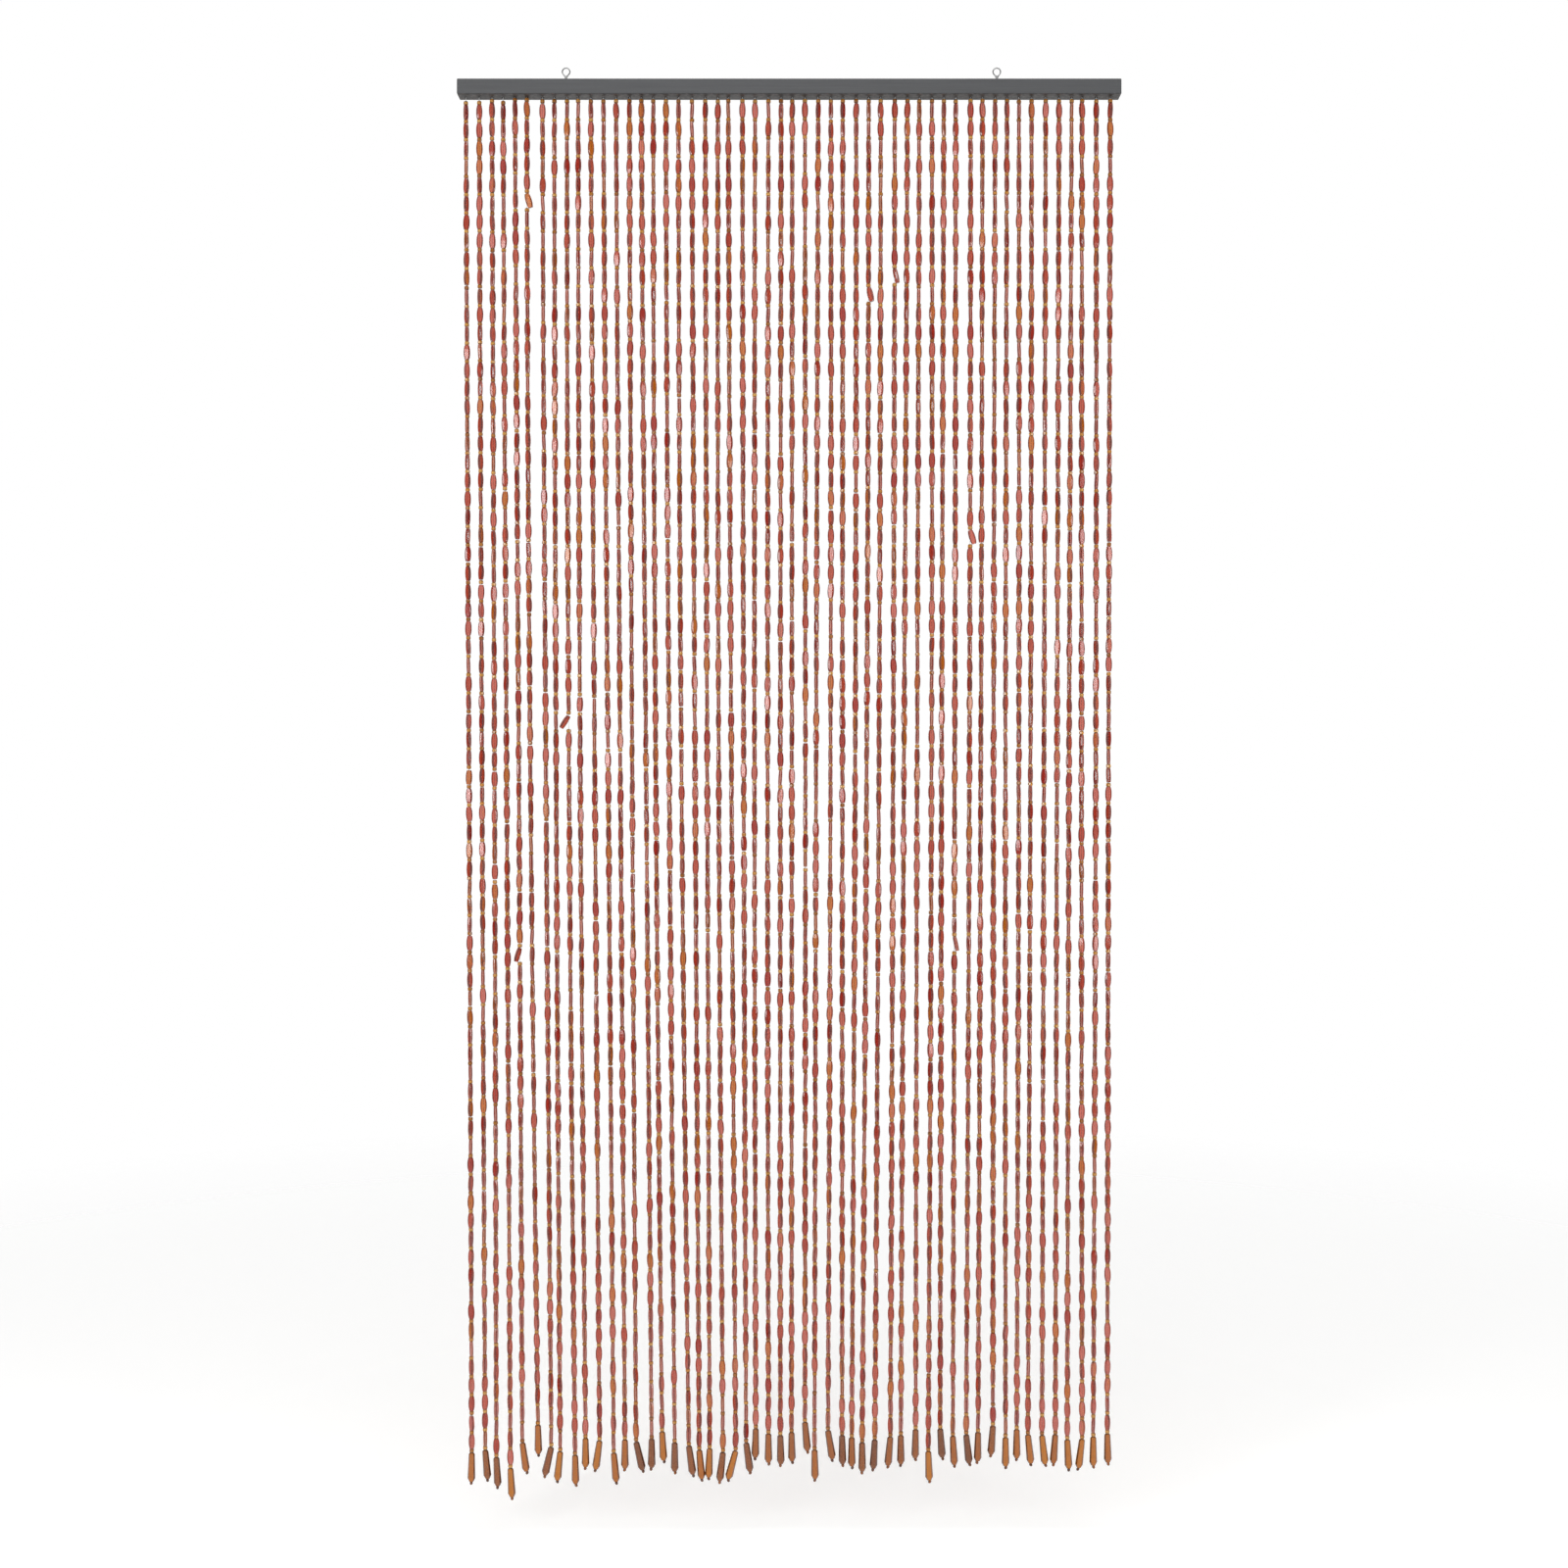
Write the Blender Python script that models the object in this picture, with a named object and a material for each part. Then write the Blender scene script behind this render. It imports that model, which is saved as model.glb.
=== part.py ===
"""Bead curtain: 52 bead strands on a painted wooden rail that hangs by two screw eyes.

Metres, +X along the rail, +Y to the back, +Z up. The origin is halfway between the two
screw eyes, where the tops of their loops bear on the hooks that they hang from.
"""
import math
import random
from collections import namedtuple

import bmesh
import bpy
from mathutils import Vector

MM = 0.001

# Rail: a planed wooden bar, set a little off the middle of its two screw eyes.
RAIL_LENGTH = 0.900
RAIL_DEPTH = 0.025
RAIL_HEIGHT = 0.021
RAIL_EDGE = 0.0012
RAIL_X = 0.0105
RAIL_Y = 0.003

# Screw eyes: bent wire, each loop a round top that runs down into a straight-sided V.
EYE_SPACING = 0.585
EYE_WIRE = 0.0018
EYE_WIDTH = 0.0122
EYE_HEIGHT = 0.0182
EYE_SHANK_DEPTH = 0.008
EYE_SIDES = 8
EYE_ARC_STEPS = 14

# String: one line laid in a groove along the rail's top, and down through each hole.
HOLE_PITCH = 0.0172
FIRST_HOLE_INSET = 0.010
HOLE_WIDTH = 0.004
HOLE_Y = RAIL_Y + 0.0025
GROOVE_WIDTH = 0.0036
GROOVE_DEPTH = 0.004
GROOVE_RUN_OUT = 0.005
SPINE_WIDTH = 0.0024
SPINE_HEIGHT = 0.0022
SPINE_RUN_OUT = 0.003
NECK_WIDTH = 0.0018
NECK_BELOW_RAIL = 0.0025

# Strands: each tooth of the comb is as wide as the long beads are when they turn.
DROP = 1.930  # from the rail's top to the lowest tip
SPACER_WIDTH = 0.0055
BEAD_WIDTH = 0.0086
SHOULDER = 0.006
STRAND_SIDES = 6
STRAND_SECTIONS = 4
DRIFT_POWER = 1.4
SWAY = 0.0015
CLEARANCE = 0.0003
CUT_PAST = 0.001  # how far a cutter runs past the face that it cuts
EYE_BORE_PLAY = 4 * CLEARANCE
EYE_BORE_EXTRA_DEPTH = 2 * CLEARANCE
SHANK_OVERLAP = EYE_WIRE / 4  # how far the shank runs up into the loop's wire
LOOP_SPREAD = 45  # how far the loop's arc runs past each side of level, in degrees
SHARPEST_MITRE = 0.5  # the least share that the wire's width is divided by at a bend
SHARP_ANGLE = 40  # bends sharper than this stay crisp, in degrees
SWAY_SEED = 52

# Pendant: a tapered six-sided drop with its small end bead, one row for each section.
Section = namedtuple("Section", "down width depth")
PENDANT_SECTIONS = [
    Section(down=0.0, width=4.6, depth=4.0),
    Section(down=1.8, width=7.8, depth=5.8),
    Section(down=33.5, width=9.8, depth=7.2),
    Section(down=38.0, width=4.4, depth=4.0),
    Section(down=43.0, width=3.0, depth=3.0),
]
PENDANT_LENGTH = PENDANT_SECTIONS[-1].down * MM
PENDANT_FLAT = 0.56  # share of the width that the flat front and back faces take

# The strands from left to right. hole: how far the hole was drilled off its even place;
# foot: how far the strand's lower end hangs to the right of its hole; rise: how far its
# tip stays above the lowest one, all in millimetres; lean: its pendant's lean, in degrees.
Strand = namedtuple("Strand", "hole foot rise lean")
STRANDS = [
    Strand(0, 8, 21, -1), Strand(1, 8, 25, 5), Strand(1, 6, 15, 3), Strand(-1, 10, 0, 3),
    Strand(-2, 10, 35, 8), Strand(-3, 15, 59, 1), Strand(1, 12, 30, -13), Strand(0, 8, 23, -6),
    Strand(0, 11, 18, 1), Strand(-2, 10, 41, 0), Strand(-2, 12, 38, -8), Strand(-2, 14, 21, 5),
    Strand(-2, 12, 39, 0), Strand(-1, 9, 37, 13), Strand(-2, 14, 40, 0), Strand(-3, 12, 50, 3),
    Strand(-3, 12, 35, 0), Strand(-3, 14, 31, 8), Strand(-2, 10, 25, 5), Strand(-1, 6, 27, -2),
    Strand(-1, 7, 22, -7), Strand(-4, 10, 25, -15), Strand(-2, 5, 35, 8), Strand(-2, 1, 54, -1),
    Strand(-1, 0, 47, 0), Strand(-1, -1, 45, 1), Strand(-3, -1, 49, 1), Strand(-3, 0, 63, 5),
    Strand(-2, -5, 25, 1), Strand(-2, -4, 52, 9), Strand(-3, -1, 45, 1), Strand(-2, -6, 42, 0),
    Strand(-2, -9, 35, 0), Strand(-3, -8, 39, -3), Strand(-1, -6, 43, -5), Strand(-1, -9, 45, 0),
    Strand(-2, -5, 53, -1), Strand(-2, -5, 23, 2), Strand(-3, -5, 54, 4), Strand(-4, -4, 44, 3),
    Strand(-1, -6, 46, 6), Strand(-2, -6, 49, -1), Strand(-2, -3, 58, -4), Strand(-3, -2, 42, 0),
    Strand(-4, -3, 53, 0), Strand(-4, -5, 46, 6), Strand(-2, -5, 45, 6), Strand(-1, -5, 46, -4),
    Strand(-1, -6, 39, 3), Strand(-4, 0, 40, -7), Strand(-2, -4, 43, 0), Strand(0, -4, 47, 1),
]

RAIL_TOP = EYE_WIRE - EYE_HEIGHT
RAIL_BOTTOM = RAIL_TOP - RAIL_HEIGHT
LOWEST_TIP = RAIL_TOP - DROP
FIRST_HOLE = RAIL_X - RAIL_LENGTH / 2 + FIRST_HOLE_INSET
GROOVE_FLOOR = RAIL_TOP - GROOVE_DEPTH


def clear_scene():
    """Starts from an empty scene."""
    for item in list(bpy.data.objects):
        bpy.data.objects.remove(item)


def plain_material(name, colour, roughness, metallic=0.0):
    """A plain material in one colour."""
    material = bpy.data.materials.new(name)
    material.use_nodes = True
    shader = material.node_tree.nodes["Principled BSDF"]
    shader.inputs["Base Color"].default_value = (*colour, 1.0)
    shader.inputs["Roughness"].default_value = roughness
    shader.inputs["Metallic"].default_value = metallic
    return material


def add_object(name, bm, material=None, smooth=False):
    """Turns a bmesh into an object of the scene, with its faces pointing out."""
    bmesh.ops.recalc_face_normals(bm, faces=bm.faces)
    mesh = bpy.data.meshes.new(name)
    bm.to_mesh(mesh)
    bm.free()
    if smooth:
        mesh.shade_smooth()
        mesh.set_sharp_from_angle(angle=math.radians(SHARP_ANGLE))
    item = bpy.data.objects.new(name, mesh)
    bpy.context.scene.collection.objects.link(item)
    if material:
        mesh.materials.append(material)
    return item


def add_helper(name, bm):
    """A shape that only cuts or joins another one."""
    item = add_object(name, bm)
    item.hide_render = True
    item.display_type = "WIRE"
    return item


def combine(item, helper, operation):
    """Cuts a helper out of an object, or joins it to the object."""
    boolean = item.modifiers.new(f"{operation.lower()} {helper.name}", "BOOLEAN")
    boolean.operation = operation
    boolean.object = helper


def add_box(bm, low, high):
    """Adds a box between two corners."""
    low = Vector(low)
    high = Vector(high)
    made = bmesh.ops.create_cube(bm, size=1.0)
    bmesh.ops.scale(bm, vec=high - low, verts=made["verts"])
    bmesh.ops.translate(bm, vec=(low + high) / 2, verts=made["verts"])


def add_tube(bm, rings, closed=False):
    """Adds a tube through rings of points, capped at its ends or closed on itself."""
    loops = [[bm.verts.new(point) for point in ring] for ring in rings]
    pairs = list(zip(loops, loops[1:]))
    if closed:
        pairs.append((loops[-1], loops[0]))
    else:
        bm.faces.new(loops[0])
        bm.faces.new(loops[-1])
    for upper, lower in pairs:
        for side in range(len(upper)):
            turn = (side + 1) % len(upper)
            bm.faces.new((upper[side], upper[turn], lower[turn], lower[side]))


def level_ring(centre, width, sides):
    """A level ring of points with a flat side to the front."""
    radius = width / 2
    angles = [math.tau * (side + 0.5) / sides for side in range(sides)]
    return [centre + Vector((radius * math.sin(a), radius * math.cos(a), 0)) for a in angles]


def hole_place(number):
    """Where a strand's hole comes out of the rail's underside."""
    even = FIRST_HOLE + number * HOLE_PITCH
    return Vector((even + STRANDS[number].hole * MM, HOLE_Y, RAIL_BOTTOM))


def pendant_axis(strand):
    """The direction from a pendant's head to its tip."""
    lean = math.radians(strand.lean)
    return Vector((math.sin(lean), 0, -math.cos(lean)))


def pendant_head(number):
    """Where a pendant begins, straight under its strand's foot."""
    strand = STRANDS[number]
    tip = LOWEST_TIP + strand.rise * MM
    head = tip - PENDANT_LENGTH * pendant_axis(strand).z
    return Vector((hole_place(number).x + strand.foot * MM, HOLE_Y, head))


def make_rail(material):
    """The wooden bar, with its groove, string holes and two blind holes for the eyes."""
    half = Vector((RAIL_LENGTH, RAIL_DEPTH, RAIL_HEIGHT)) / 2
    middle = Vector((RAIL_X, RAIL_Y, RAIL_TOP - half.z))
    bm = bmesh.new()
    add_box(bm, middle - half, middle + half)
    rail = add_object("rail", bm, material, smooth=True)
    bevel = rail.modifiers.new("eased edges", "BEVEL")
    bevel.width = RAIL_EDGE
    bevel.segments = 2

    bm = bmesh.new()
    first = hole_place(0).x - GROOVE_RUN_OUT
    last = hole_place(len(STRANDS) - 1).x + GROOVE_RUN_OUT
    side = GROOVE_WIDTH / 2
    add_box(bm, (first, HOLE_Y - side, GROOVE_FLOOR), (last, HOLE_Y + side, RAIL_TOP + 2 * CUT_PAST))
    combine(rail, add_helper("groove_cutter", bm), "DIFFERENCE")

    bm = bmesh.new()
    for number in range(len(STRANDS)):
        place = hole_place(number)
        ends = (GROOVE_FLOOR + CUT_PAST, RAIL_BOTTOM - CUT_PAST)
        centres = [Vector((place.x, place.y, height)) for height in ends]
        add_tube(bm, [level_ring(centre, HOLE_WIDTH, STRAND_SIDES) for centre in centres])
    for side in (-1, 1):
        ends = (RAIL_TOP + CUT_PAST, RAIL_TOP - EYE_SHANK_DEPTH - EYE_BORE_EXTRA_DEPTH)
        centres = [Vector((side * EYE_SPACING / 2, 0, height)) for height in ends]
        width = EYE_WIRE + EYE_BORE_PLAY
        add_tube(bm, [level_ring(centre, width, EYE_SIDES) for centre in centres])
    combine(rail, add_helper("hole_cutters", bm), "DIFFERENCE")


def loop_points(radius):
    """The middle of an eye's wire: an arc over the top, then two straight sides to a V."""
    spread = math.radians(LOOP_SPREAD)
    centre = EYE_WIRE / 2 - radius
    points = [(0.0, centre - radius / math.cos(spread))]
    for step in range(EYE_ARC_STEPS + 1):
        turn = -spread + (math.pi + 2 * spread) * step / EYE_ARC_STEPS
        points.append((radius * math.cos(turn), centre + radius * math.sin(turn)))
    return [Vector((x, 0, z)) for x, z in points]


def make_eye(name, side, material):
    """A screw eye: the closed wire loop, and its shank in the rail."""
    points = loop_points((EYE_WIDTH - EYE_WIRE) / 2)
    place = Vector((side * EYE_SPACING / 2, 0, 0))
    rings = []
    for number, point in enumerate(points):
        before = (point - points[number - 1]).normalized()
        after = (points[(number + 1) % len(points)] - point).normalized()
        along = (before + after).normalized()
        outward = Vector((along.z, 0, -along.x)) / max(along.dot(after), SHARPEST_MITRE)
        angles = [math.tau * (corner + 0.5) / EYE_SIDES for corner in range(EYE_SIDES)]
        across = [(math.cos(a) * outward, math.sin(a) * Vector((0, 1, 0))) for a in angles]
        rings.append([place + point + (x + y) * EYE_WIRE / 2 for x, y in across])
    bm = bmesh.new()
    add_tube(bm, rings, closed=True)
    eye = add_object(name, bm, material, smooth=True)

    bm = bmesh.new()
    ends = (points[0].z + SHANK_OVERLAP, RAIL_TOP - EYE_SHANK_DEPTH)
    centres = [place + Vector((0, 0, height)) for height in ends]
    add_tube(bm, [level_ring(centre, EYE_WIRE, EYE_SIDES) for centre in centres])
    combine(eye, add_helper(f"{name}_shank", bm), "UNION")


def strand_rings(number, chance):
    """The rings of one tooth, from inside the spine to just above its pendant."""
    hole = hole_place(number)
    head = pendant_head(number)
    side_sway = chance.uniform(-SWAY, SWAY)
    depth_sway = chance.uniform(-SWAY, SWAY)
    neck_top = GROOVE_FLOOR + CLEARANCE + SPINE_HEIGHT / 2
    neck_end = RAIL_BOTTOM - NECK_BELOW_RAIL
    tilt = abs(pendant_axis(STRANDS[number]).x)
    tooth_end = head.z + CLEARANCE + tilt * PENDANT_SECTIONS[0].width * MM / 2
    rings = [
        level_ring(Vector((hole.x, hole.y, neck_top)), NECK_WIDTH, STRAND_SIDES),
        level_ring(Vector((hole.x, hole.y, neck_end)), NECK_WIDTH, STRAND_SIDES),
        level_ring(Vector((hole.x, hole.y, neck_end)), SPACER_WIDTH, STRAND_SIDES),
    ]
    start = neck_end - SHOULDER
    for step in range(STRAND_SECTIONS + 1):
        share = step / STRAND_SECTIONS
        bow = math.sin(math.pi * share)
        across = hole.x + (head.x - hole.x) * share**DRIFT_POWER + side_sway * bow
        centre = Vector((across, hole.y + depth_sway * bow, start + (tooth_end - start) * share))
        rings.append(level_ring(centre, BEAD_WIDTH, STRAND_SIDES))
    return rings


def make_strands(material):
    """All the strands as one comb: the string along the rail, and a tooth for each strand."""
    chance = random.Random(SWAY_SEED)
    bm = bmesh.new()
    for number in range(len(STRANDS)):
        add_tube(bm, strand_rings(number, chance))
    strands = add_object("strands", bm, material, smooth=True)

    bm = bmesh.new()
    low = GROOVE_FLOOR + CLEARANCE
    first = hole_place(0).x - SPINE_RUN_OUT
    last = hole_place(len(STRANDS) - 1).x + SPINE_RUN_OUT
    side = SPINE_WIDTH / 2
    add_box(bm, (first, HOLE_Y - side, low), (last, HOLE_Y + side, low + SPINE_HEIGHT))
    combine(strands, add_helper("spine", bm), "UNION")


def make_pendant(number, material):
    """One tapered six-sided drop, wide faces to the front and back, with its end bead."""
    axis = pendant_axis(STRANDS[number])
    across = Vector((-axis.z, 0, axis.x))
    back = Vector((0, 1, 0))
    corners = (
        (1, 0), (PENDANT_FLAT, 1), (-PENDANT_FLAT, 1),
        (-1, 0), (-PENDANT_FLAT, -1), (PENDANT_FLAT, -1),
    )
    rings = []
    for section in PENDANT_SECTIONS:
        centre = pendant_head(number) + axis * section.down * MM
        wide = across * section.width * MM / 2
        deep = back * section.depth * MM / 2
        rings.append([centre + wide * x + deep * y for x, y in corners])
    bm = bmesh.new()
    add_tube(bm, rings)
    add_object(f"pendant_{number + 1:02d}", bm, material)


clear_scene()
make_rail(plain_material("rail_paint", (0.115, 0.120, 0.125), 0.55))
galvanised = plain_material("galvanised_wire", (0.62, 0.62, 0.62), 0.35, metallic=1.0)
make_eye("eye_left", -1, galvanised)
make_eye("eye_right", 1, galvanised)
make_strands(plain_material("coral_beads", (0.60, 0.17, 0.10), 0.15))
amber = plain_material("amber_drops", (0.42, 0.15, 0.03), 0.12)
for strand_number in range(len(STRANDS)):
    make_pendant(strand_number, amber)
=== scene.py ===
import math
import random

import bmesh
import bpy
import numpy as np
from mathutils import Matrix, Vector


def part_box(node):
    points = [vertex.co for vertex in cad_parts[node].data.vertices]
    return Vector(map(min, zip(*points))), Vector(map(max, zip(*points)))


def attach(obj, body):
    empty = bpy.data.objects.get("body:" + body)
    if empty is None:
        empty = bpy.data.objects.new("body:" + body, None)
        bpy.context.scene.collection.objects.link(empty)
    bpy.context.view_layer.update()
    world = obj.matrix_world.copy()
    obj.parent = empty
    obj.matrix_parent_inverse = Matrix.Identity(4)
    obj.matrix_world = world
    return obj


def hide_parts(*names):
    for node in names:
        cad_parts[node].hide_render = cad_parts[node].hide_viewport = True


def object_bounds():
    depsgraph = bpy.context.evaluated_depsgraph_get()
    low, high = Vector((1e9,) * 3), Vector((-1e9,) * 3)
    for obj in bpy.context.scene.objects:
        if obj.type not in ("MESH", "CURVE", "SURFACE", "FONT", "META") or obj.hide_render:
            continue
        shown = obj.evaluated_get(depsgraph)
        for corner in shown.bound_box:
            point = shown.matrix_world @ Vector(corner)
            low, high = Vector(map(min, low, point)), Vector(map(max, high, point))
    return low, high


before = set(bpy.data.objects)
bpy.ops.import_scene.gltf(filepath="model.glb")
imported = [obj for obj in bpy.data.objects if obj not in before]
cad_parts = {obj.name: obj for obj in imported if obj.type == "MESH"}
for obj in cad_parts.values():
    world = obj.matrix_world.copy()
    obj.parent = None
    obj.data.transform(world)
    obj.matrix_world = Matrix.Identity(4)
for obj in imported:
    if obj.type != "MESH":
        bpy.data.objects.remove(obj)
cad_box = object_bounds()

# The camera: level, 2.6 m in front of the bar and a little left of its middle,
# half way down the curtain, so that the bar's underside just shows.
rail_low, rail_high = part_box("rail")
CAMERA_DISTANCE = 2.6
CAMERA_BELOW_RAIL_TOP = 0.9554
CAMERA_LEFT = 0.007
CAMERA_LENS = 44.1     # mm, on a sensor 36 mm wide
SENSOR_WIDTH = 36

camera_data = bpy.data.cameras.new("camera")
camera_data.lens = CAMERA_LENS
camera_data.sensor_width = SENSOR_WIDTH
camera = bpy.data.objects.new("camera", camera_data)
camera.location = (
    (rail_low.x + rail_high.x) / 2 - CAMERA_LEFT,
    rail_low.y - CAMERA_DISTANCE,
    rail_high.z - CAMERA_BELOW_RAIL_TOP,
)
camera.rotation_euler = (math.pi / 2, 0, 0)
bpy.context.scene.collection.objects.link(camera)
bpy.context.scene.camera = camera
bpy.context.scene.view_settings.view_transform = "Standard"

# The studio: white all round for the eye, while the beads see a room that is bright in front and
# behind and dark at the sides, with two tall soft boxes in front and one overhead.
MIDDLE = Vector((camera.location.x, 0, camera.location.z))
ROOM_ACROSS = ((0.35, 1.0), (0.75, 0.04))  # how bright the room is, by how far to the side it lies
SOFT_BOXES = (         # name, place from the middle of the curtain, width and height, watts
    ("soft_box_left", Vector((-1.6, -2.2, 0.5)), (0.5, 1.8), 26),
    ("soft_box_right", Vector((1.8, -2.0, 0.2)), (0.4, 1.8), 14),
    ("soft_box_over", Vector((0, -0.8, 2.2)), (1.6, 0.8), 22),
)


def add_node(tree, kind, **sockets):
    """A shader node, with its sockets set by name."""
    node = tree.nodes.new(kind)
    for name, value in sockets.items():
        node.inputs[name.replace("_", " ")].default_value = value
    return node


def ramp_between(tree, value, *stops):
    """A colour ramp over value; each stop is a place and a colour, or a place and a grey."""
    ramp = tree.nodes.new("ShaderNodeValToRGB")
    tree.links.new(value, ramp.inputs["Fac"])
    while len(ramp.color_ramp.elements) < len(stops):
        ramp.color_ramp.elements.new(0.5)
    for element, (place, colour) in zip(ramp.color_ramp.elements, stops):
        element.position = place
        element.color = (*colour, 1) if isinstance(colour, tuple) else (colour, colour, colour, 1)
    return ramp.outputs["Color"]


def maths(tree, operation, first, second):
    """One sum on two values, each a number or another node's output."""
    node = tree.nodes.new("ShaderNodeMath")
    node.operation = operation
    for socket, value in zip(node.inputs, (first, second)):
        if isinstance(value, (int, float)):
            socket.default_value = value
        else:
            tree.links.new(value, socket)
    return node.outputs["Value"]


world = bpy.data.worlds.new("studio")
world.use_nodes = True
bpy.context.scene.world = world
studio = world.node_tree
studio.nodes.clear()
direction = studio.nodes.new("ShaderNodeSeparateXYZ")
studio.links.new(studio.nodes.new("ShaderNodeTexCoord").outputs["Generated"], direction.inputs["Vector"])
across = maths(studio, "ABSOLUTE", direction.outputs["X"], 0)
room = add_node(studio, "ShaderNodeBackground", Strength=1.0)
studio.links.new(ramp_between(studio, across, *ROOM_ACROSS), room.inputs["Color"])
white = add_node(studio, "ShaderNodeBackground", Color=(1, 1, 1, 1), Strength=1.0)
seen = studio.nodes.new("ShaderNodeMixShader")
studio.links.new(studio.nodes.new("ShaderNodeLightPath").outputs["Is Camera Ray"], seen.inputs["Fac"])
studio.links.new(room.outputs["Background"], seen.inputs[1])
studio.links.new(white.outputs["Background"], seen.inputs[2])
studio.links.new(seen.outputs["Shader"], studio.nodes.new("ShaderNodeOutputWorld").inputs["Surface"])

for name, place, size, power in SOFT_BOXES:
    lamp_data = bpy.data.lights.new(name, "AREA")
    lamp_data.shape = "RECTANGLE"
    lamp_data.size, lamp_data.size_y = size
    lamp_data.energy = power
    lamp = bpy.data.objects.new(name, lamp_data)
    lamp.location = MIDDLE + place
    lamp.rotation_euler = (-place).to_track_quat("-Z", "Y").to_euler()
    lamp.visible_camera = False
    bpy.context.scene.collection.objects.link(lamp)

# The floor: a pale disc 50 mm under the lowest drop that fades out into the white.
FLOOR_BELOW_DROPS = 0.05
FLOOR_RADIUS = 4.0
FLOOR_FADE = ((0.2, 0.0), (0.8, 1.0))      # how clear the floor is, by its share of the radius
FLOOR_WHITE = (0.95, 0.95, 0.94, 1)
FLOOR_GLOW = 0.16
floor_height = cad_box[0][2] - FLOOR_BELOW_DROPS
floor_mesh = bmesh.new()
bmesh.ops.create_circle(floor_mesh, cap_ends=True, segments=64, radius=FLOOR_RADIUS)
bmesh.ops.translate(floor_mesh, vec=(0, 0, floor_height), verts=floor_mesh.verts)


def keep_object(name, mesh, *materials):
    """Turns a finished bmesh into an object of the scene."""
    data = bpy.data.meshes.new(name)
    mesh.to_mesh(data)
    mesh.free()
    for material in materials:
        data.materials.append(material)
    made = bpy.data.objects.new(name, data)
    bpy.context.scene.collection.objects.link(made)
    return made


floor_paint = bpy.data.materials.new("pale_floor")
floor_paint.use_nodes = True
floor_tree = floor_paint.node_tree
floor_tree.nodes.clear()
floor_coat = add_node(
    floor_tree, "ShaderNodeBsdfPrincipled", Base_Color=FLOOR_WHITE, Roughness=0.6,
    Emission_Color=(1, 1, 1, 1), Emission_Strength=FLOOR_GLOW,
)
floor_gone = floor_tree.nodes.new("ShaderNodeBsdfTransparent")
floor_mix = floor_tree.nodes.new("ShaderNodeMixShader")
floor_far = floor_tree.nodes.new("ShaderNodeVectorMath")
floor_far.operation = "LENGTH"
floor_place = add_node(floor_tree, "ShaderNodeMapping", Location=(0, 0, -floor_height))
floor_object = floor_tree.nodes.new("ShaderNodeTexCoord").outputs["Object"]
floor_tree.links.new(floor_object, floor_place.inputs["Vector"])
floor_tree.links.new(floor_place.outputs["Vector"], floor_far.inputs[0])
floor_share = maths(floor_tree, "DIVIDE", floor_far.outputs["Value"], FLOOR_RADIUS)
floor_tree.links.new(ramp_between(floor_tree, floor_share, *FLOOR_FADE), floor_mix.inputs["Fac"])
floor_tree.links.new(floor_coat.outputs["BSDF"], floor_mix.inputs[1])
floor_tree.links.new(floor_gone.outputs["BSDF"], floor_mix.inputs[2])
floor_output = floor_tree.nodes.new("ShaderNodeOutputMaterial")
floor_tree.links.new(floor_mix.outputs["Shader"], floor_output.inputs["Surface"])
keep_object("floor", floor_mesh, floor_paint)

# The bar: square softwood painted satin dark grey with a brush drawn along it; its underside is
# painted nearly black with painted shade, mottled with lighter scuffs.
RAIL_GREY = (0.049, 0.051, 0.054)
RAIL_GREY_DEEP = (0.036, 0.037, 0.040)
# The underside's colours: painted shade, nearly black, and lighter scuffs.
UNDERSIDE_PAINTED_SHADE = (0.010, 0.009, 0.009)
UNDERSIDE_WORN = (0.085, 0.075, 0.070)
BRUSH_STRETCH = (9, 420, 420)
SCUFF_STRETCH = (260, 260, 260)

streaks = bpy.data.node_groups.new("drawn_streaks", "ShaderNodeTree")
streaks.interface.new_socket("Stretch", in_out="INPUT", socket_type="NodeSocketVector")
streaks.interface.new_socket("Detail", in_out="INPUT", socket_type="NodeSocketFloat")
streaks.interface.new_socket("Streak", in_out="OUTPUT", socket_type="NodeSocketFloat")
streaks_in = streaks.nodes.new("NodeGroupInput")
streaks_out = streaks.nodes.new("NodeGroupOutput")
streaks_place = streaks.nodes.new("ShaderNodeMapping")
streaks_noise = add_node(streaks, "ShaderNodeTexNoise", Scale=1.0, Roughness=0.6)
streaks.links.new(streaks.nodes.new("ShaderNodeTexCoord").outputs["Object"], streaks_place.inputs["Vector"])
streaks.links.new(streaks_in.outputs["Stretch"], streaks_place.inputs["Scale"])
streaks.links.new(streaks_place.outputs["Vector"], streaks_noise.inputs["Vector"])
streaks.links.new(streaks_in.outputs["Detail"], streaks_noise.inputs["Detail"])
streaks.links.new(streaks_noise.outputs["Fac"], streaks_out.inputs["Streak"])


def start_material(name, **finish):
    """A material with one Principled shader, whose even sockets are set here."""
    material = bpy.data.materials.new(name)
    material.use_nodes = True
    tree = material.node_tree
    tree.nodes.clear()
    coat = add_node(tree, "ShaderNodeBsdfPrincipled", **finish)
    tree.links.new(coat.outputs["BSDF"], tree.nodes.new("ShaderNodeOutputMaterial").inputs["Surface"])
    return material, tree, coat


def add_streaks(tree, stretch, detail):
    """Places the streaks in a material, with their own stretch."""
    node = tree.nodes.new("ShaderNodeGroup")
    node.node_tree = streaks
    node.inputs["Stretch"].default_value = stretch
    node.inputs["Detail"].default_value = detail
    return node.outputs["Streak"]


def add_relief(tree, coat, height, strength, depth):
    """Raises a pattern on a surface."""
    bump = add_node(tree, "ShaderNodeBump", Strength=strength, Distance=depth)
    tree.links.new(height, bump.inputs["Height"])
    tree.links.new(bump.outputs["Normal"], coat.inputs["Normal"])


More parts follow.
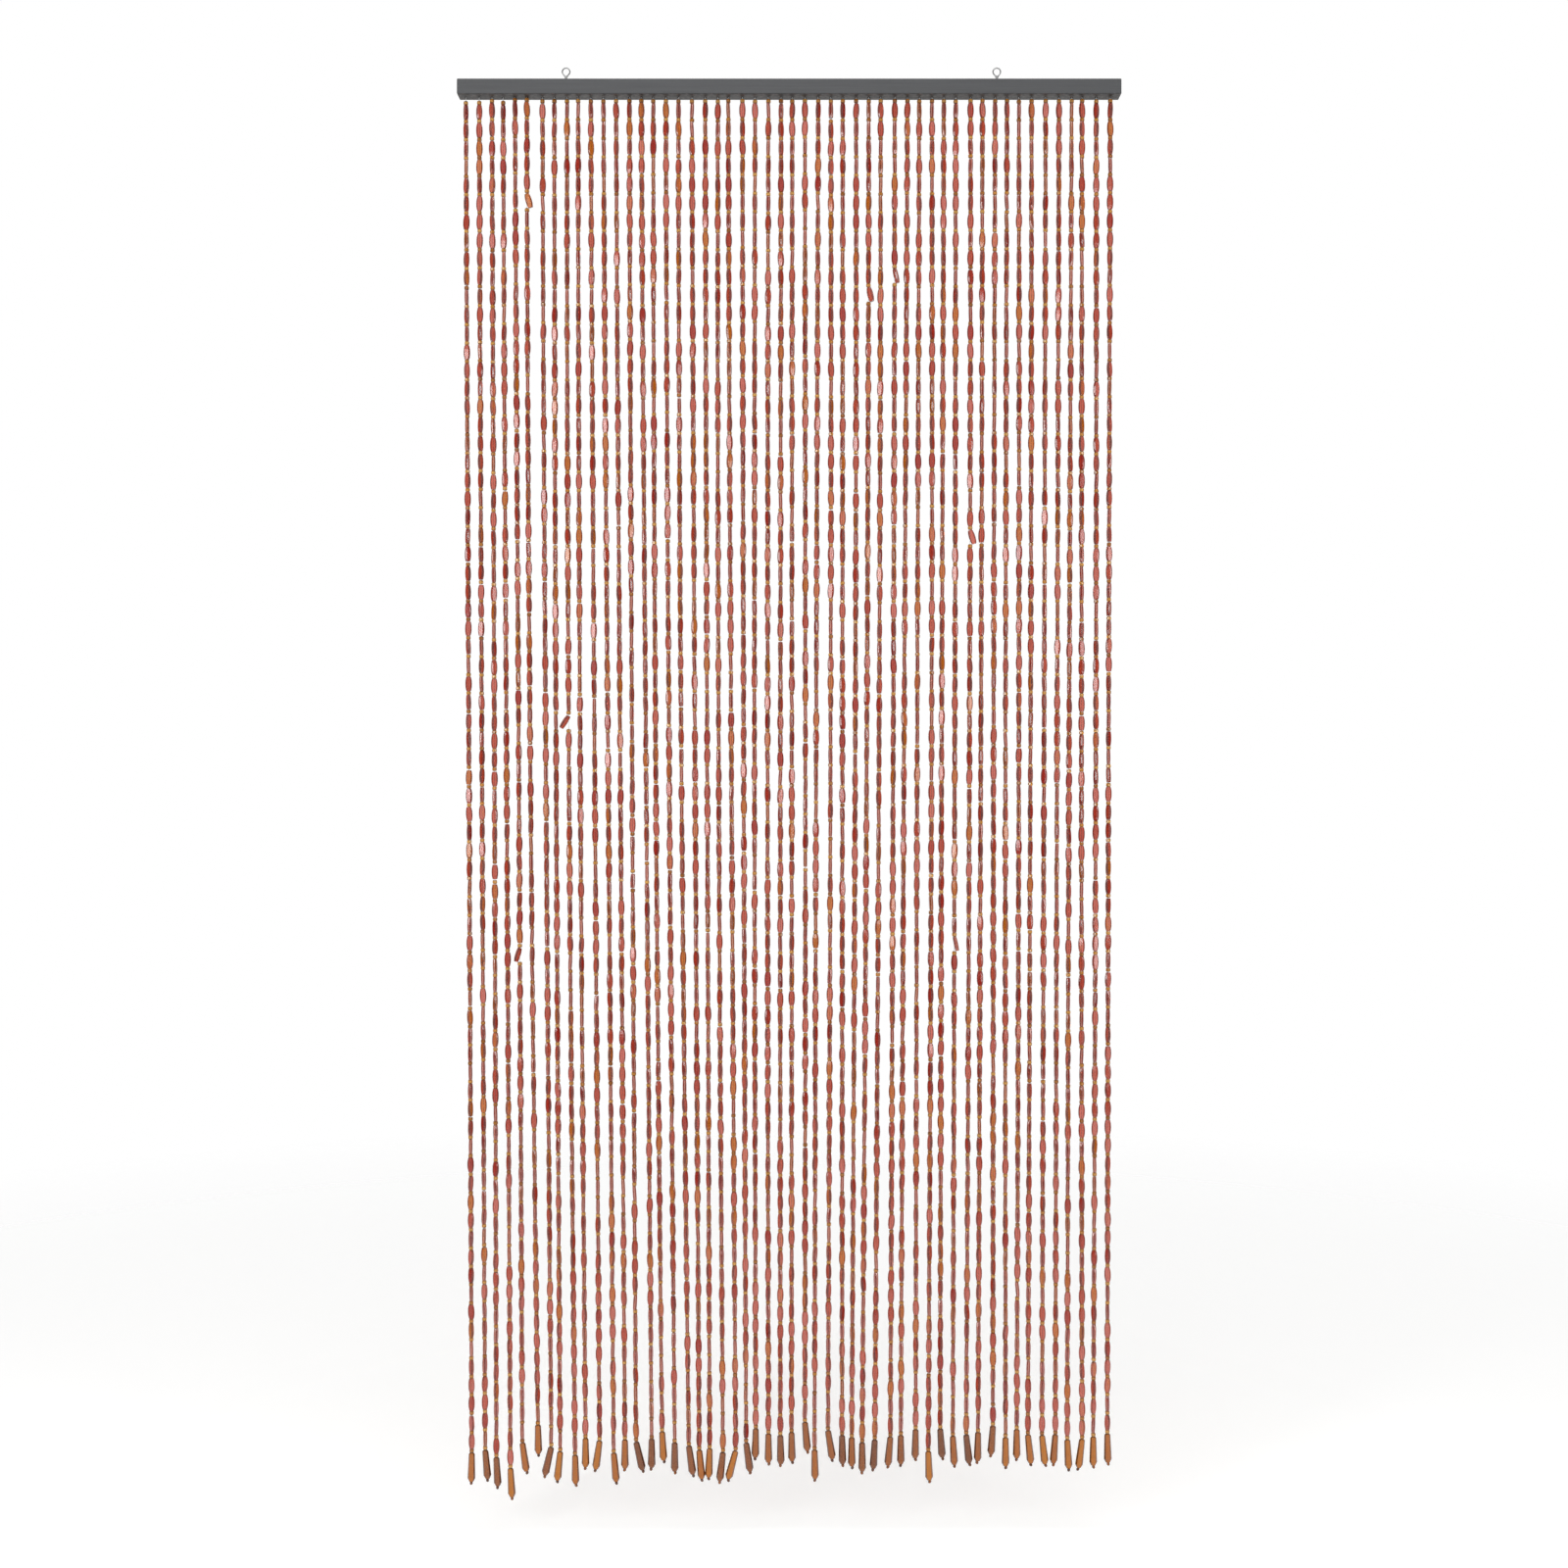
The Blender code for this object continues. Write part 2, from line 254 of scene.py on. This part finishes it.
def mix_colours(tree, share, first, second):
    """Goes from the first colour to the second by a share."""
    mix = tree.nodes.new("ShaderNodeMix")
    mix.data_type = "RGBA"
    tree.links.new(share, mix.inputs[0])
    tree.links.new(first, mix.inputs[6])
    tree.links.new(second, mix.inputs[7])
    return mix.outputs[2]


rail_paint, rail_tree, rail_coat = start_material("rail_satin_paint", Roughness=0.5)
brush = add_streaks(rail_tree, BRUSH_STRETCH, 6)
mottle = add_streaks(rail_tree, SCUFF_STRETCH, 4)
painted = ramp_between(rail_tree, brush, (0.3, RAIL_GREY_DEEP), (0.7, RAIL_GREY))
# The underside: painted shade, mottled with lighter scuffs.
underside_shade_and_scuffs = ramp_between(rail_tree, mottle, (0.45, UNDERSIDE_PAINTED_SHADE), (0.7, UNDERSIDE_WORN))
rail_face = rail_tree.nodes.new("ShaderNodeSeparateXYZ")
rail_tree.links.new(rail_tree.nodes.new("ShaderNodeTexCoord").outputs["Normal"], rail_face.inputs["Vector"])
rail_down = maths(rail_tree, "MULTIPLY", rail_face.outputs["Z"], -1)
# Mask of the down-facing faces, where the shade is painted.
underside_shade_mask = ramp_between(rail_tree, rail_down, (0.5, 0.0), (0.8, 1.0))
rail_tree.links.new(mix_colours(rail_tree, underside_shade_mask, painted, underside_shade_and_scuffs), rail_coat.inputs["Base Color"])
rail_tree.links.new(ramp_between(rail_tree, brush, (0.3, 0.42), (0.7, 0.58)), rail_coat.inputs["Roughness"])
add_relief(rail_tree, rail_coat, brush, 0.35, 0.0004)
for material_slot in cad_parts["rail"].material_slots:
    material_slot.material = rail_paint

# The eyes: zinc-plated wire screwed into the top of the bar, bent into a drop-shaped loop. Each is
# smoothed from the frame's own eye, with fine lines drawn along the wire.
WIRE_SWELL = 0.00006    # makes up for what the rounding takes off
WIRE_LINES = (900, 900, 900)

wire_finish, wire_tree, wire_coat = start_material("drawn_zinc_wire", Metallic=1.0)
wire_lines = add_streaks(wire_tree, WIRE_LINES, 3)
wire_grey = ramp_between(wire_tree, wire_lines, (0.3, 0.16), (0.7, 0.36))
wire_dulled = ramp_between(wire_tree, wire_lines, (0.3, 0.28), (0.7, 0.46))
wire_tree.links.new(wire_grey, wire_coat.inputs["Base Color"])
wire_tree.links.new(wire_dulled, wire_coat.inputs["Roughness"])
add_relief(wire_tree, wire_coat, wire_lines, 0.2, 0.0001)


def merged_copy(node):
    """A copy of one of the frame's own meshes, with its loose triangles joined up."""
    mesh = bmesh.new()
    mesh.from_mesh(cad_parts[node].data)
    bmesh.ops.remove_doubles(mesh, verts=mesh.verts, dist=1e-6)
    return mesh


for side in ("left", "right"):
    eye_mesh = merged_copy("eye_" + side)
    bmesh.ops.join_triangles(
        eye_mesh, faces=eye_mesh.faces, angle_face_threshold=0.9, angle_shape_threshold=0.9)
    eye_mesh.normal_update()
    for corner in eye_mesh.verts:
        corner.co += corner.normal * WIRE_SWELL
    for face in eye_mesh.faces:
        face.smooth = True
    eye = keep_object("wire_eye_" + side, eye_mesh, wire_finish)
    rounding = eye.modifiers.new("rounding", "SUBSURF")
    rounding.levels = rounding.render_levels = 1
    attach(eye, "root")
    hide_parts("eye_" + side)

# The strand paths: each strand hangs from its hole to its drop, as the frame's comb does. The comb
# is cut off at its necks, and the middle of every ring of a tooth is a point of that strand's path.
NECK_BELOW_RAIL = 0.0025
RING_STEP = 0.0005

comb = merged_copy("strands")
cut_height = rail_low.z - NECK_BELOW_RAIL / 2
bmesh.ops.delete(comb, geom=[vert for vert in comb.verts if vert.co.z > cut_height], context="VERTS")
teeth = []
waiting = set(comb.verts)
while waiting:
    tooth, edge_of_search = [], [waiting.pop()]
    while edge_of_search:
        vert = edge_of_search.pop()
        tooth.append(vert.co.copy())
        for edge in vert.link_edges:
            other = edge.other_vert(vert)
            if other in waiting:
                waiting.remove(other)
                edge_of_search.append(other)
    rings = {}
    for corner in tooth:
        rings.setdefault(round(corner.z / RING_STEP), []).append(corner)
    middles = [sum(ring, Vector()) / len(ring) for ring in rings.values()]
    teeth.append(sorted(middles, key=lambda middle: -middle.z))
comb.free()
teeth.sort(key=lambda middles: middles[0].x)

# The long beads: clear tinted acrylic, pressed flat with eight long facets. Most are coral or rose,
# some deep red or amber; the narrow sides carry a painted sheen and the slanting facets and ends painted
# shade.
BEAD_LENGTH = 0.0194
BEAD_WIDTH = 0.0087
BEAD_DEPTH = 0.0050
FACE_SHARE = 0.62      # the broad faces' share of the width
SIDE_SHARE = 0.36      # the narrow sides' share of the depth
END_WIDTH = 0.66       # share of the widest
END_DEPTH = 0.86       # share of the deepest
BULGE = 2.6            # how late the bead narrows towards its ends
BEAD_BANDS = {1.0: 1.0, 2 / 3: 0.84, 1 / 3: 0.45, 0.0: 0.0}  # even rings, and where each one goes
# Kinds of facet: BROAD keeps the tint, EDGE gets painted shade and NARROW a painted sheen.
BROAD, EDGE, NARROW = 0.0, 0.5, 1.0
# The spacers' chamfers and ends are painted with shade.
SPACER_EDGE = 0.4
SWIRL_STRETCH = (420, 420, 130)
LINE_STRETCH = (700, 700, 60)
SPACER_LENGTH = 0.0055
SPACER_WIDTH = 0.0063
SPACER_END = 0.70
SPACER_CHAMFER = 0.55


def clear_cast(name, stops, painted_shade_colour, painted_sheen_colour, roughness, transmission):
    """Clear tinted plastic. Shade picks the tint. Side is BROAD; EDGE on slanting facets and ends,
    which are painted with shade; or NARROW, which is painted with a sheen."""
    material, tree, coat = start_material(
        name, IOR=1.49, Transmission_Weight=transmission, Specular_IOR_Level=0.6, Coat_Weight=0.15)
    shade = tree.nodes.new("ShaderNodeAttribute")
    shade.attribute_name = "shade"
    side = tree.nodes.new("ShaderNodeAttribute")
    side.attribute_name = "side"
    swirl = add_streaks(tree, SWIRL_STRETCH, 3)
    spread = maths(tree, "MULTIPLY", maths(tree, "SUBTRACT", swirl, 0.5), 0.35)
    tint = ramp_between(tree, maths(tree, "ADD", shade.outputs["Fac"], spread), *stops)
    facet = maths(tree, "ADD", side.outputs["Fac"], maths(tree, "MULTIPLY", spread, 0.2))
    # Painted shade on EDGE facets and a painted sheen on NARROW sides, mixed over the tint.
    facet_shade_and_sheen = ramp_between(tree, facet, (0.5, painted_shade_colour), (1.0, painted_sheen_colour))
    share = ramp_between(tree, facet, (0.05, 0.0), (0.45, 0.75), (1.0, 0.6))
    tree.links.new(mix_colours(tree, share, tint, facet_shade_and_sheen), coat.inputs["Base Color"])
    dulled = ramp_between(tree, swirl, (0.3, roughness), (0.7, roughness + 0.1))
    tree.links.new(dulled, coat.inputs["Roughness"])
    add_relief(tree, coat, swirl, 0.15, 0.0003)
    return material


bead_cast = clear_cast(
    "coral_cast",
    ((0.0, (0.40, 0.025, 0.014)), (0.22, (0.52, 0.075, 0.035)), (0.5, (0.58, 0.12, 0.075)),
     (0.8, (0.64, 0.17, 0.13)), (0.9, (0.62, 0.18, 0.045)), (1.0, (0.56, 0.15, 0.01))),
    # painted shade colour, painted sheen colour, roughness, transmission
    (0.20, 0.020, 0.014), (0.84, 0.47, 0.37), 0.12, 0.8)
spacer_cast = clear_cast(
    "amber_cast",
    ((0.0, (0.40, 0.13, 0.015)), (0.5, (0.66, 0.28, 0.04)), (1.0, (0.78, 0.42, 0.10))),
    # painted shade colour, painted sheen colour, roughness, transmission
    (0.20, 0.055, 0.008), (0.85, 0.55, 0.20), 0.12, 0.65)
line_clear, line_tree, line_coat = start_material("clear_line", IOR=1.5, Transmission_Weight=0.5)
line_haze = add_streaks(line_tree, LINE_STRETCH, 2)
line_grey = ramp_between(line_tree, line_haze, (0.3, 0.75), (0.7, 0.9))
line_dulled = ramp_between(line_tree, line_haze, (0.3, 0.2), (0.7, 0.4))
line_tree.links.new(line_grey, line_coat.inputs["Base Color"])
line_tree.links.new(line_dulled, line_coat.inputs["Roughness"])


def facet_prism(mesh, sides, bands):
    """A capped prism two units across and two high, turned to flat sides and cut into bands."""
    bmesh.ops.create_cone(mesh, cap_ends=True, segments=sides, radius1=1, radius2=1, depth=2)
    bmesh.ops.rotate(mesh, matrix=Matrix.Rotation(math.pi / sides, 3, "Z"), verts=mesh.verts)
    upright = [edge for edge in mesh.edges if abs(edge.verts[0].co.z - edge.verts[1].co.z) > 1]
    bmesh.ops.subdivide_edges(mesh, edges=upright, cuts=bands - 1)


def keep_mesh(mesh, name):
    """Keeps a finished bmesh as a pattern that is threaded many times."""
    data = bpy.data.meshes.new(name)
    mesh.to_mesh(data)
    mesh.free()
    return data


def bead_facet(normal):
    if abs(normal.z) > 0.8:
        return EDGE
    if abs(normal.y) > 0.85:
        return BROAD
    return NARROW if abs(normal.x) > 0.85 else EDGE


def spacer_facet(normal):
    return BROAD if abs(normal.z) < 0.1 else SPACER_EDGE


# A drop's sides and ends are painted with shade.
def drop_facet(normal):
    return BROAD if abs(normal.y) > 0.85 else EDGE


def tell_facets(mesh, kind_of):
    """Writes each facet's kind on its corners."""
    mesh.normal_update()
    side = mesh.loops.layers.float.new("side")
    for face in mesh.faces:
        for corner in face.loops:
            corner[side] = kind_of(face.normal)


def model_bead():
    """One long bead, centred on the origin."""
    bead = bmesh.new()
    facet_prism(bead, 8, 6)
    bead.verts.layers.float.new("shade")
    for vert in bead.verts:
        up = BEAD_BANDS[min(BEAD_BANDS, key=lambda band: abs(band - abs(vert.co.z)))]
        broad = abs(vert.co.y) > abs(vert.co.x)
        narrowing = up ** BULGE
        half_width = BEAD_WIDTH / 2 * (1 - (1 - END_WIDTH) * narrowing)
        half_depth = BEAD_DEPTH / 2 * (1 - (1 - END_DEPTH) * narrowing)
        vert.co = (
            math.copysign(half_width * (FACE_SHARE if broad else 1), vert.co.x),
            math.copysign(half_depth * (1 if broad else SIDE_SHARE), vert.co.y),
            math.copysign(BEAD_LENGTH / 2 * up, vert.co.z),
        )
    tell_facets(bead, bead_facet)
    return keep_mesh(bead, "long_bead")


def model_spacer():
    """One spacer, centred on the origin."""
    spacer = bmesh.new()
    facet_prism(spacer, 8, 3)
    spacer.verts.layers.float.new("shade")
    for vert in spacer.verts:
        at_end = abs(vert.co.z) > 0.9
        around = SPACER_WIDTH / 2 * (SPACER_END if at_end else 1)
        up = SPACER_LENGTH / 2 * (1 if at_end else SPACER_CHAMFER)
        vert.co = (vert.co.x * around, vert.co.y * around, math.copysign(up, vert.co.z))
    tell_facets(spacer, spacer_facet)
    return keep_mesh(spacer, "spacer")


def thread_on(strand, pattern, place, shade, material_index):
    """Adds one bead of a pattern to a strand at its place, in its own shade."""
    known = len(strand.verts)
    known_faces = len(strand.faces)
    strand.from_mesh(pattern)
    strand.verts.ensure_lookup_table()
    strand.faces.ensure_lookup_table()
    fresh = strand.verts[known:]
    bmesh.ops.transform(strand, matrix=place, verts=fresh)
    tone = strand.verts.layers.float["shade"]
    for vert in fresh:
        vert[tone] = shade
    for face in strand.faces[known_faces:]:
        face.material_index = material_index


# The strands: long beads and round spacers threaded in turn on clear line, starting and ending with
# a spacer. The beads turn freely, in runs, sit a little askew, and leave a gap here and there.
PAIR_PITCH = 0.0251
GAP_TOTAL = 0.0002     # for each long bead and spacer
GAP_UNEVENNESS = 12
LINE_WIDTH = 0.0009
LINE_SIDES = 6
LINE_STEPS = 24
LINE_SINK = 0.012      # how far the line goes up into its hole
# Strand: how much lower than the others its first spacer starts.
LOW_STARTS = {1: 0.0025, 2: 0.002, 4: 0.002, 5: -0.002, 6: -0.002}
ASKEW = {              # strand: how far down its askew bead sits, and its lean in degrees
    5: (1.201, -16), 6: (0.178, 14), 9: (0.889, -32), 33: (0.311, 15),
    35: (0.288, 13), 40: (1.185, 12), 41: (0.641, 17),
}
TURN_DRIFT = 38        # degrees from one bead to the next
FRESH_TURN = 0.22      # share of the beads that turn anew
TILT = 1.3             # degrees
START_SPREAD = 0.0006
BEAD_SLOT, SPACER_SLOT, LINE_SLOT = 0, 1, 2

draw = random.Random(7)
long_bead = model_bead()
spacer_bead = model_spacer()
for number, middles in enumerate(teeth, start=1):
    heights = np.array([middle.z for middle in middles])
    reach = heights[0] - heights[-1]
    down = (heights[0] - heights) / reach
    across_fit = np.polyfit(down, [middle.x for middle in middles], 4)
    depth_fit = np.polyfit(down, [middle.y for middle in middles], 4)
    top = heights[0] - LOW_STARTS.get(number, 0.0) + draw.uniform(-START_SPREAD, START_SPREAD)
    foot = heights[-1]
    pairs = round((top - foot - SPACER_LENGTH) / PAIR_PITCH)
    pitch = (top - foot - SPACER_LENGTH) / pairs
    stretch = (pitch - SPACER_LENGTH - GAP_TOTAL) / BEAD_LENGTH
    uneven = [draw.random() ** GAP_UNEVENNESS for gap in range(2 * pairs)]
    gaps = [share / sum(uneven) * GAP_TOTAL * pairs for share in uneven]

    strand = bmesh.new()
    strand.from_mesh(spacer_bead)
    strand.clear()
    turn = draw.uniform(0, 180)
    height = top
    for count in range(2 * pairs + 1):
        is_long = count % 2 == 1
        length = BEAD_LENGTH * stretch if is_long else SPACER_LENGTH
        middle_height = height - length / 2
        share = (heights[0] - middle_height) / reach
        slope = np.polyval(np.polyder(across_fit), share) / reach
        place = Vector((np.polyval(across_fit, share), np.polyval(depth_fit, share), middle_height))
        lean = -math.degrees(math.atan(slope)) + draw.gauss(0, TILT)
        turn = draw.uniform(0, 180) if draw.random() < FRESH_TURN else turn + draw.gauss(0, TURN_DRIFT)
        if is_long and number in ASKEW and abs(middle_height + ASKEW[number][0]) < pitch / 2:
            lean -= ASKEW[number][1]
            place.x += math.sin(math.radians(ASKEW[number][1])) * length / 2
        turned = Matrix.Rotation(math.radians(turn), 4, "Z")
        stretched = Matrix.Diagonal((1, 1, stretch if is_long else 1, 1))
        tipped = Matrix.Rotation(math.radians(draw.gauss(0, TILT)), 4, "X")
        leaning = Matrix.Rotation(math.radians(lean), 4, "Y") @ tipped
        thread_on(
            strand, long_bead if is_long else spacer_bead,
            Matrix.Translation(place) @ leaning @ turned @ stretched,
            draw.random(), BEAD_SLOT if is_long else SPACER_SLOT,
        )
        if count < 2 * pairs:
            height -= length + gaps[count]

    ring = bmesh.ops.create_circle(strand, segments=LINE_SIDES, radius=LINE_WIDTH / 2)["verts"]
    bmesh.ops.translate(strand, vec=middles[0] + Vector((0, 0, LINE_SINK)), verts=ring)
    bottom = strand.faces.new(ring)
    bottom.material_index = LINE_SLOT
    for step in range(LINE_STEPS + 1):
        share = step / LINE_STEPS
        next_height = heights[0] - share * reach
        next_place = Vector((np.polyval(across_fit, share), np.polyval(depth_fit, share), next_height))
        grown = bmesh.ops.extrude_face_region(strand, geom=[bottom])["geom"]
        strand.faces.remove(bottom)
        bottom = next(part for part in grown if isinstance(part, bmesh.types.BMFace))
        bmesh.ops.translate(strand, vec=next_place - bottom.calc_center_median(), verts=bottom.verts)
        if step == 0:
            strand.faces.new(ring[::-1])
    bmesh.ops.recalc_face_normals(strand, faces=strand.faces)
    piece = keep_object(f"strand_{number:02d}", strand, bead_cast, spacer_cast, line_clear)
    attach(piece, "root")
    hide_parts("strands")

# The drops: heavy six-sided amber drops with a broad face front and back and sides darkened with painted
# shade, each on the end of its line, held by a small end bead that sits askew on the knot.
DROP_LENGTH = 0.0390
DROP_BANDS = (         # share of the length from the top, then share of the greatest width
    (0.0, 0.60), (0.05, 0.80), (0.88, 1.0), (1.0, 0.56),
)
BROAD_FACE = 0.62      # of the width
EASED = 0.00035
END_BEAD_RADIUS = 0.0021
END_BEAD_STRETCH = 1.25
END_BEAD_TURN = 40     # degrees, at most
END_BEAD_SLIP = 0.0009
DEPTH_OF_WIDTH = 0.67
DROP_SIDES = 6
CAD_RING = 6           # corners of the first and last ring of the frame's own drop

drop_cast = clear_cast(
    "drop_cast",
    ((0.0, (0.05, 0.012, 0.006)), (0.2, (0.16, 0.045, 0.012)), (0.45, (0.30, 0.085, 0.016)),
     (0.75, (0.46, 0.13, 0.008)), (1.0, (0.56, 0.19, 0.004))),
    # painted shade colour for the sides, painted sheen colour, roughness, transmission
    (0.030, 0.008, 0.005), (0.30, 0.10, 0.03), 0.12, 0.5)
for number in range(1, len(teeth) + 1):
    node = f"pendant_{number:02d}"
    solid = merged_copy(node)
    by_height = sorted((vert.co.copy() for vert in solid.verts), key=lambda corner: corner.z)
    solid.free()
    head = sum(by_height[-CAD_RING:], Vector()) / CAD_RING
    tip = sum(by_height[:CAD_RING], Vector()) / CAD_RING
    hang = (tip - head).normalized()
    low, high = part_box(node)
    half_depth = (high.y - low.y) / 2
    half_width = half_depth / DEPTH_OF_WIDTH
    tint = draw.uniform(0.3, 0.95)

    drop = bmesh.new()
    tone = drop.verts.layers.float.new("shade")
    facet_prism(drop, DROP_SIDES, len(DROP_BANDS) - 1)
    corners = sorted(drop.verts, key=lambda vert: -vert.co.z)
    for band, (down_share, width_share) in enumerate(DROP_BANDS):
        for vert in corners[DROP_SIDES * band:DROP_SIDES * (band + 1)]:
            at_side = abs(vert.co.y) < 0.1
            vert.co = (
                math.copysign(half_width * width_share * (1 if at_side else BROAD_FACE), vert.co.x),
                0 if at_side else math.copysign(half_depth * width_share, vert.co.y),
                -DROP_LENGTH * down_share,
            )
    bmesh.ops.bevel(
        drop, geom=list(drop.edges), offset=EASED, affect="EDGES", segments=2, profile=0.5, material=-1)
    for vert in drop.verts:
        vert[tone] = tint
    end_length = (tip - head).length - DROP_LENGTH
    end_bead = bmesh.ops.create_uvsphere(
        drop, u_segments=12, v_segments=8, radius=END_BEAD_RADIUS)["verts"]
    bmesh.ops.scale(drop, vec=(1, 1, END_BEAD_STRETCH), verts=end_bead)
    end_turn = math.radians(draw.uniform(-END_BEAD_TURN, END_BEAD_TURN))
    bmesh.ops.rotate(drop, matrix=Matrix.Rotation(end_turn, 3, "Y"), verts=end_bead)
    slip = draw.uniform(-END_BEAD_SLIP, END_BEAD_SLIP)
    bmesh.ops.translate(drop, vec=(slip, 0, -DROP_LENGTH - end_length / 2), verts=end_bead)
    end_tint = draw.uniform(0.1, 0.6)
    for vert in end_bead:
        vert[tone] = end_tint
    upright_to_hang = Vector((0, 0, -1)).rotation_difference(hang).to_matrix().to_4x4()
    bmesh.ops.transform(drop, matrix=Matrix.Translation(head) @ upright_to_hang, verts=drop.verts)
    bmesh.ops.recalc_face_normals(drop, faces=drop.faces)
    round_bead = set(end_bead)
    for face in drop.faces:
        face.smooth = face.verts[0] in round_bead
    tell_facets(drop, drop_facet)
    piece = keep_object(f"drop_{number:02d}", drop, drop_cast)
    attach(piece, "root")
    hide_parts(node)
